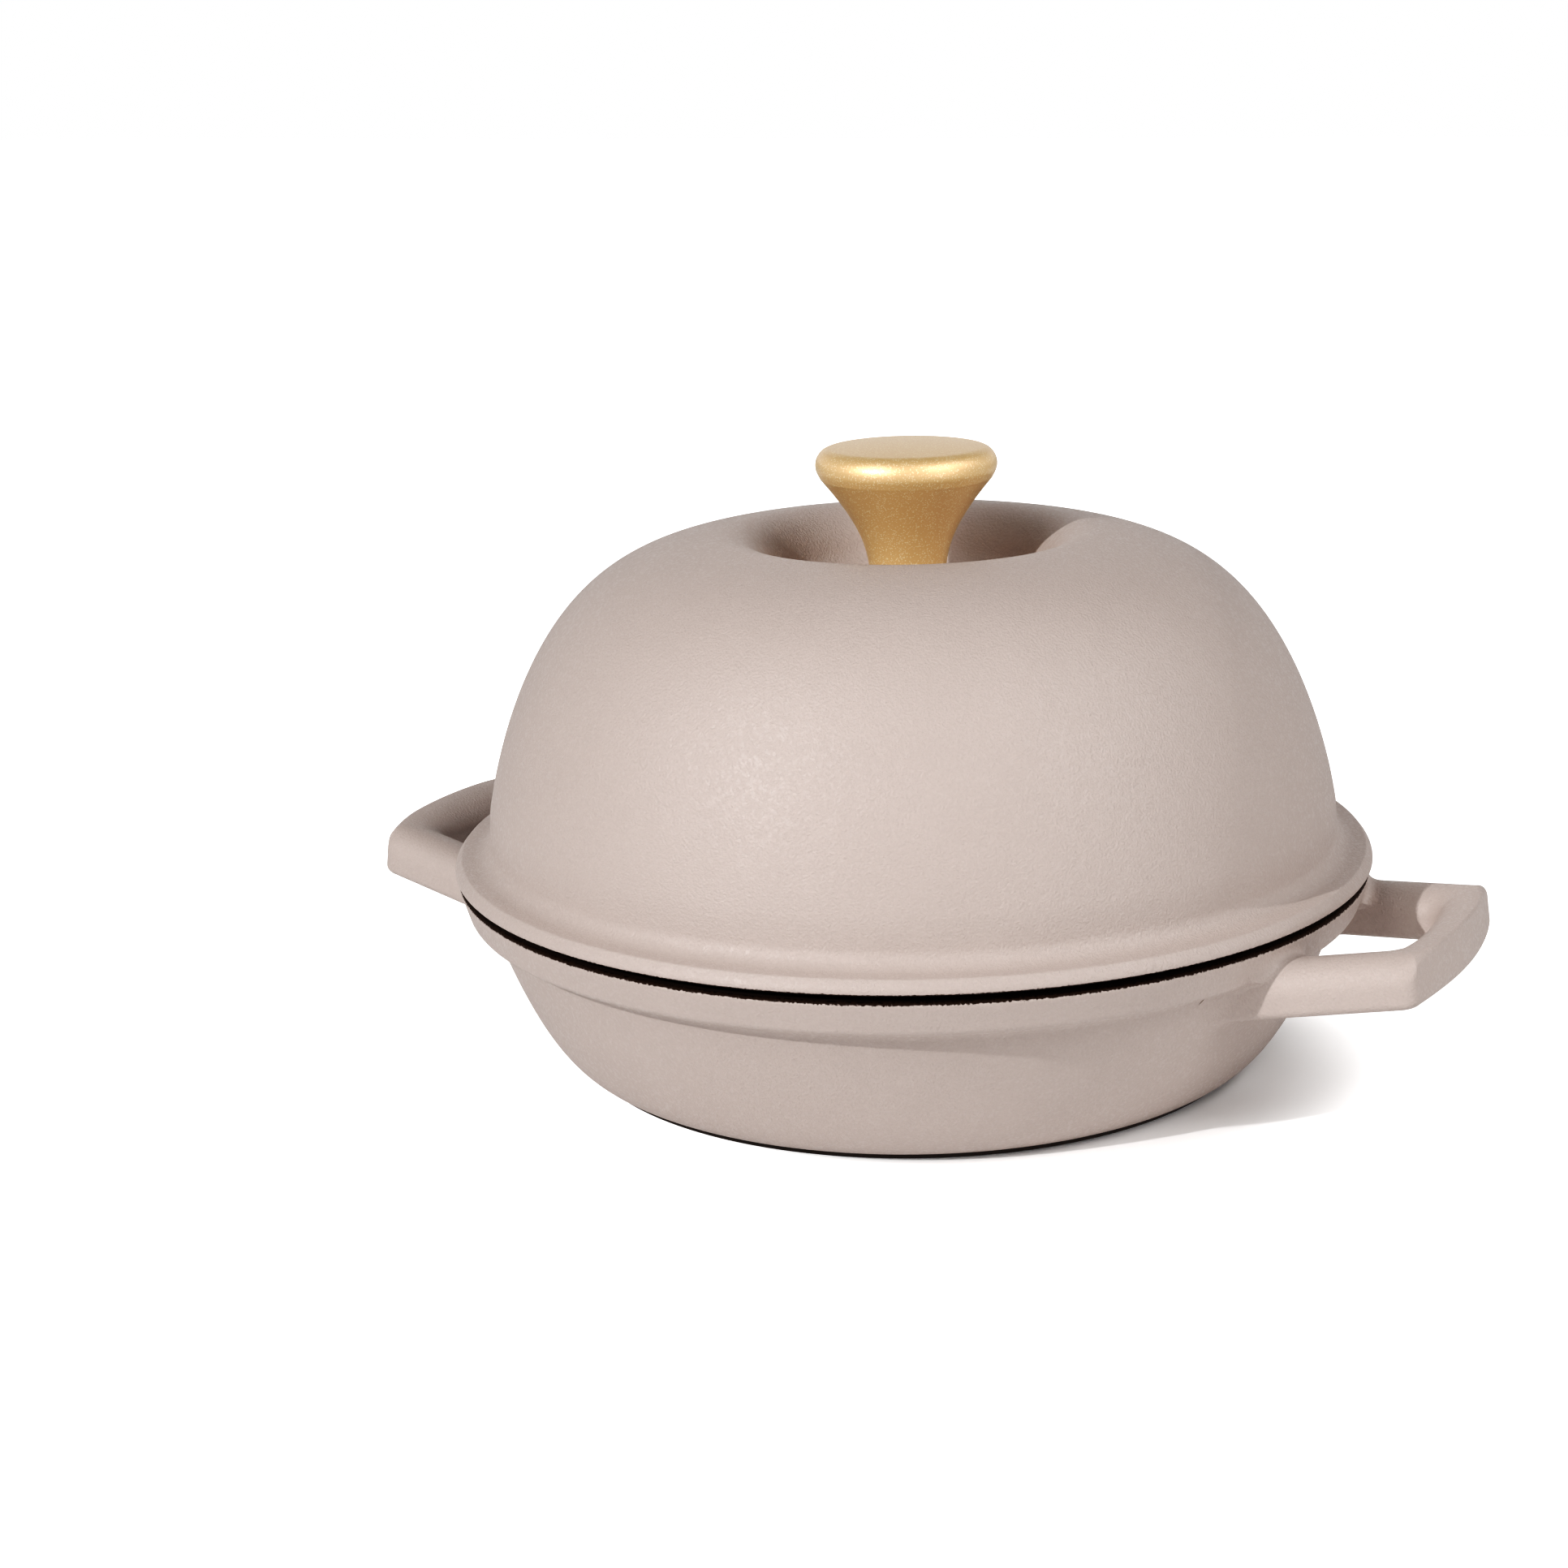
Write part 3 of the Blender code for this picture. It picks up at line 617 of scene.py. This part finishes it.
# From the axis over the recess and the crest and down the dome to where its wall stands upright, all
# moved in by the inset. The crest's arc meets the dome with no kink, and the dome is
# radius = domeRadius cos(t)^(2 / sidePower), height = domeBase + domeRise sin(t)^(2 / topPower).
def lidShell(inset):
    crestRound, slope, nudge = lid["crestRound"] - inset, 0.0, 1e-4
    for _ in range(8):  # settles where the arc and the dome have one slope
        startRadius = lid["crestRadius"] + crestRound * math.sin(slope)
        fall = domeHeight(startRadius, inset) - domeHeight(startRadius + nudge, inset)
        slope = math.atan(fall / nudge)
    centre = domeHeight(startRadius, inset) - crestRound * math.cos(slope)
    a = np.linspace(slope, -lid["wallAngle"], lid["crestSteps"])
    crest = np.stack([lid["crestRadius"] + crestRound * np.sin(a), centre + crestRound * np.cos(a)], axis=1)
    edge, floorHeight = crest[-1], recessFloor - inset
    foot = edge[0] - (edge[1] - floorHeight) / math.tan(lid["wallAngle"])
    floor = filletPoints([
        (0.0, floorHeight, 0),
        (foot, floorHeight, lid["recessRound"] + inset),
        (*edge, 0),
    ], steps=20)
    first = math.acos((crest[0, 0] / (lid["domeRadius"] - inset)) ** (lid["sidePower"] / 2))
    last = math.asin(lid["domeEndShare"] ** (lid["topPower"] / 2))
    t = np.linspace(first, last, lid["domeSamples"])[1:]
    dome = np.stack([(lid["domeRadius"] - inset) * np.cos(t) ** (2 / lid["sidePower"]),
                     domeBase + (lid["domeRise"] - inset) * np.sin(t) ** (2 / lid["topPower"])], axis=1)
    whole = np.concatenate([crest[:1], dome])
    along = np.concatenate([[0], np.cumsum(np.linalg.norm(np.diff(whole, axis=0), axis=1))])
    even = np.linspace(0, along[-1], lid["domeSteps"])  # its points are evenly spaced along it
    dome = np.stack([np.interp(even, along, whole[:, k]) for k in range(2)], axis=1)[1:]
    return floor[1:-1], crest[::-1], dome


# The whole lid as one closed line: the outer shell out to the flange, the lip, and the inner shell to
# the hole. Finish 0 is the outer enamel, and 1 the black one from the flange's lower edge inwards.
def lidProfile():
    floor, crest, dome = lidShell(0.0)
    innerFloor, innerCrest, innerDome = lidShell(lid["wall"])
    flangeRadius = pan["rimRadius"] + lid["flangeOverhang"]
    edgeIn, edgeDown = lid["edgeSlope"]
    rootHeight = flangeTop + lid["flangeSlope"]
    lipOuter = panRimInner - lid["lipClearance"]
    lipInner = lipOuter - lid["lipWidth"]
    lipFoot = lidSeat - lid["lipDepth"]
    top = np.concatenate([[(lid["screwHole"], recessFloor)], floor, crest, dome])
    flange = filletPoints([
        (*dome[-1], 0),
        (lid["domeRadius"], rootHeight, lid["rootRound"]),
        (flangeRadius - edgeIn, flangeTop, lid["creaseRound"]),
        (flangeRadius, flangeTop - edgeDown, lid["flangeRound"]),
        (flangeRadius, flangeBottom, lid["flangeFootRound"]),
        (pan["rimRadius"] - pan["rimBevel"], lidSeat, 0),
    ], steps=16)
    under = filletPoints([
        (pan["rimRadius"] - pan["rimBevel"], lidSeat, 0),
        (lipOuter, lidSeat, lid["seatRound"]),
        (lipOuter, lipFoot, lid["lipRound"]),
        (lipInner, lipFoot, lid["lipRound"]),
        (lid["domeRadius"] - lid["wall"], rootHeight, lid["innerRootRound"]),
        (*innerDome[-1], 0),
    ], steps=6)
    inside = np.concatenate([innerDome[-2::-1], innerCrest[::-1], innerFloor[::-1],
                             [(lid["screwHole"], recessFloor - lid["wall"])]])
    line = np.concatenate([top[:-1], flange[:-1], under, inside])
    blackFrom = len(top) + len(flange) - 4  # the last two points of the flange's lower fillet
    kinds = (np.arange(len(line)) >= blackFrom).astype(int)
    return evenLine(line, kinds, lid["reach"])


# The lid's closed profile turned round the axis
def makeLid():
    profile, kinds = lidProfile()
    shell = turnedShell(profile, lid["steps"], closed=True, kinds=kinds)
    addPiece("lidShell", [shell], "lid", "lid_dome", [lidTaupe, blackEnamel])


knob = {
    "height": 0.0421, "topRadius": 0.0234, "crown": 0.0010, "crownShare": 0.7, "cornerRadius": 0.0281,
    "edgeDrop": 0.0042, "edgeRound": 0.0055, "headThickness": 0.0098, "undersideRadius": 0.0252,
    "undersideRound": 0.0007, "flare": ((0.0, 0.36), (0.41, 0.66)), "waistRadius": 0.0113,
    "waistHeight": 0.0036, "baseRadius": 0.0122, "baseBand": 0.0010, "bandRound": 0.0006,
    "footRound": 0.0003, "bore": 0.0033, "boreDepth": 0.0140, "boreRound": 0.0002,
    "sealThickness": 0.0010, "sealInset": 0.0004, "steps": 160,
}
sealBottom = recessFloor + lid["seatGap"]
knobBottom = sealBottom + knob["sealThickness"] + lid["seatGap"]


# The knob as one line from axis to axis: a top that falls with the square of the radius, the rounded
# head, the flare as a cubic curve, and the bore. The top of the flare gives way to the head's edge.
def knobProfile():
    top = knobBottom + knob["height"]
    headFoot = (knob["undersideRadius"], top - knob["headThickness"])
    waist = (knob["waistRadius"], knobBottom + knob["waistHeight"])
    boreTop = knobBottom + knob["boreDepth"]
    flare = cubicPoints(waist, *knob["flare"], headFoot, steps=40)
    cut = 4
    t = np.linspace(0, knob["crownShare"], 14)
    crown = np.stack([t * knob["topRadius"], top - t * t * knob["crown"]], axis=1)
    head = filletPoints([
        (*crown[-1], 0),
        (knob["topRadius"], top - knob["crown"], knob["edgeRound"]),
        (knob["cornerRadius"], top - knob["edgeDrop"], knob["edgeRound"]),
        (*headFoot, knob["undersideRound"]),
        (*flare[-cut], 0),
    ], steps=14)
    base = filletPoints([
        (*flare[0], 0),
        (knob["baseRadius"], knobBottom + knob["baseBand"], knob["bandRound"]),
        (knob["baseRadius"], knobBottom, knob["footRound"]),
        (knob["bore"], knobBottom, knob["boreRound"]),
        (knob["bore"], boreTop, 0),
        (0.0, boreTop, 0),
    ], steps=5)
    return np.concatenate([crown[:-1], head[:-1], flare[-cut - 1:0:-1], base])


# The knob's profile turned round the axis
def makeKnob():
    shell = turnedShell(knobProfile(), knob["steps"])
    addPiece("knobBody", [shell], "lid", "knob", [goldFlake])


fastening = {
    "washerRadius": 0.0090, "washerThickness": 0.0012, "edgeRound": 0.00025, "seam": 1e-5, "steps": 96,
}


# A flat ring with its four edges rounded, turned from a closed profile that begins and ends in the hole
def ringShell(outer, bottom, top):
    inner, edge, middle = lid["screwHole"], fastening["edgeRound"], (bottom + top) / 2
    profile = filletPoints([
        (inner, middle, 0),
        (inner, top, edge),
        (outer, top, edge),
        (outer, bottom, edge),
        (inner, bottom, edge),
        (inner, middle - fastening["seam"], 0),
    ], steps=5)
    return turnedShell(profile, fastening["steps"], closed=True)


# The seal under the knob and the plain washer under the lid are rings. The screw and the split washer
# keep the frame's shapes and get the steel.
def makeFastening():
    seal = ringShell(knob["baseRadius"] - knob["sealInset"], sealBottom, sealBottom + knob["sealThickness"])
    addPiece("knobSeal", [seal], "lid", "knob_seal", [sealSilicone])
    washerTop = recessFloor - lid["wall"] - lid["seatGap"]
    washer = ringShell(fastening["washerRadius"], washerTop - fastening["washerThickness"], washerTop)
    addPiece("flatWasher", [washer], "lid", "flat_washer", [fasteningSteel])
    for name in ("lock_washer", "knob_screw"):
        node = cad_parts[name]
        node.data.materials.clear()
        node.data.materials.append(fasteningSteel)


makePan()
makeLid()
makeKnob()
makeFastening()


# A box is (azimuth, elevation, power), and a shade is (brightness, brightness shown)
studio = {
    "floorHalf": 6.0, "floorColour": 0.88, "floorRoughness": 0.9, "floorShine": 0.1, "seenFloor": 1.0,
    "shadowMiddle": (0.040, -0.010, 0.0), "shadowReach": (0.068, 0.126), "shadowGlow": (0.03, 1.0),
    "keyPlace": (-0.24, -0.78, 0.50), "keyAim": (0.0, 0.0, 0.10), "keyPower": 6.4, "keySize": 0.016,
    "boxes": {"leftBox": (-110, 42, 11.6), "rightBox": (-20, 42, 14.1), "lowBox": (-20, 12, 5.2),
              "sideBox": (20, 42, 6.3), "backBox": (116, 14, 8.0)},
    "boxSize": 1.0, "boxDistance": 2.0, "boxAim": 0.07, "unmirrored": "backBox",
    "mirroredRise": (0.25, 0.75), "mirrored": (0.80, 0.05),
    "shades": ((0.08, 0.045), (0.16, 0.122), (0.26, 0.243), (0.42, 0.427), (0.66, 0.672)),
}


# A plain pale floor that the camera sees white: it glows for the camera alone, and hardly near the
# oven, where the shadow shows
def makeFloor():
    mesh = bpy.data.meshes.new("studioFloor")
    side = studio["floorHalf"]
    corners = [(-side, -side, 0), (side, -side, 0), (side, side, 0), (-side, side, 0)]
    mesh.from_pydata(corners, [], [(0, 1, 2, 3)])
    floor = bpy.data.objects.new("studioFloor", mesh)
    bpy.context.scene.collection.objects.link(floor)
    material, tree, shader = newMaterial("studioFloor")
    camera = addNode(tree, "ShaderNodeLightPath", (-900, -500)).outputs["Is Camera Ray"]
    pale, white = (studio["floorColour"],) * 3, (studio["seenFloor"],) * 3
    place = addNode(tree, "ShaderNodeTexCoord", (-900, -200)).outputs["Object"]
    reach = addNode(tree, "ShaderNodeVectorMath", (-700, -200), {0: place, 1: studio["shadowMiddle"]},
                    operation="DISTANCE").outputs["Value"]
    glow = fadeNode(tree, (-500, -200), reach, studio["shadowReach"], studio["shadowGlow"], "SMOOTHSTEP")
    inputs = {
        "Base Color": mixNode(tree, "RGBA", (-500, 200), camera, pale, white),
        "Roughness": studio["floorRoughness"], "Specular IOR Level": studio["floorShine"],
        "Emission Color": (1, 1, 1, 1),
        "Emission Strength": mathNode(tree, "MULTIPLY", (-250, -300), glow, camera),
    }
    for name, value in inputs.items():
        feed(tree, value, shader.inputs[name])
    mesh.materials.append(material)


def areaLamp(name, shape, size, power):
    data = bpy.data.lights.new(name, "AREA")
    data.shape, data.size, data.energy = shape, size, power
    lamp = bpy.data.objects.new(name, data)
    bpy.context.scene.collection.objects.link(lamp)
    return lamp


# A small key lamp gives the crisp shadows. Its falloff is constant, so it lights near and far parts alike.
def makeKey():
    key = areaLamp("keyLight", "DISK", studio["keySize"], studio["keyPower"])
    key.data.use_nodes = True
    tree = key.data.node_tree
    even = addNode(tree, "ShaderNodeLightFalloff", (-300, 0), {"Strength": 1.0}).outputs["Constant"]
    feed(tree, even, tree.nodes["Emission"].inputs["Strength"])
    key.location = studio["keyPlace"]
    away = Vector(studio["keyPlace"]) - Vector(studio["keyAim"])
    key.rotation_euler = away.to_track_quat("Z", "Y").to_euler()


# Square boxes of soft light fill the shadows. Each faces the oven from its azimuth and elevation in
# degrees, and one isn't mirrored by the glossy coats.
def makeBoxes():
    for name, (azimuth, elevation, power) in studio["boxes"].items():
        box = areaLamp(name, "SQUARE", studio["boxSize"], power)
        a, e = math.radians(azimuth), math.radians(elevation)
        away = studio["boxDistance"] * math.cos(e)
        box.location = (away * math.cos(a), away * math.sin(a),
                        studio["boxDistance"] * math.sin(e) + studio["boxAim"])
        box.rotation_euler = (math.radians(90 - elevation), 0.0, math.radians(azimuth + 90))
        box.visible_glossy = name != studio["unmirrored"]


# The world is white to the camera and lights nothing. Glossy coats mirror it, bright near the horizon
# and dark high up.
def makeWorld():
    world = bpy.data.worlds.new("studioWorld")
    bpy.context.scene.world = world
    world.use_nodes = True
    tree = world.node_tree
    ray = addNode(tree, "ShaderNodeLightPath", (-600, 0)).outputs
    way = addNode(tree, "ShaderNodeTexCoord", (-1000, -200)).outputs["Generated"]
    upward = addNode(tree, "ShaderNodeSeparateXYZ", (-800, -200), {"Vector": way}).outputs["Z"]
    mirrored = fadeNode(tree, (-600, -200), upward, studio["mirroredRise"], studio["mirrored"])
    strength = mathNode(tree, "MULTIPLY_ADD", (-400, 0),
                        ray["Is Glossy Ray"], mirrored, ray["Is Camera Ray"])
    back = tree.nodes["Background"]
    back.inputs["Color"].default_value = (1, 1, 1, 1)
    feed(tree, strength, back.inputs["Strength"])


# Plain colours, with a light curve that draws the shades a little deeper
def developPicture():
    view = bpy.context.scene.view_settings
    view.view_transform = "Standard"
    view.use_curve_mapping = True
    whole = view.curve_mapping.curves[3]
    for light, shown in studio["shades"]:
        whole.points.new(light, shown)
    view.curve_mapping.update()


photoView = {
    "lens": 65.01, "sensor": 36.0, "shift": (-0.0445, 0.0083), "clip": (0.01, 50.0),
    "place": (0.35446, -0.74178, 0.30142), "turn": (74.6178, 1.2025, 26.4215),
}


# A camera at the photograph's viewpoint, its lens and sensor in millimetres and its turn in degrees
def makeCamera():
    data = bpy.data.cameras.new("photoCamera")
    data.lens, data.sensor_width, data.sensor_fit = photoView["lens"], photoView["sensor"], "HORIZONTAL"
    data.shift_x, data.shift_y = photoView["shift"]
    data.clip_start, data.clip_end = photoView["clip"]
    camera = bpy.data.objects.new("photoCamera", data)
    bpy.context.scene.collection.objects.link(camera)
    camera.location = photoView["place"]
    camera.rotation_euler = [math.radians(a) for a in photoView["turn"]]
    bpy.context.scene.camera = camera


makeFloor()
makeKey()
makeBoxes()
makeWorld()
makeCamera()
developPicture()
print("studio ready")
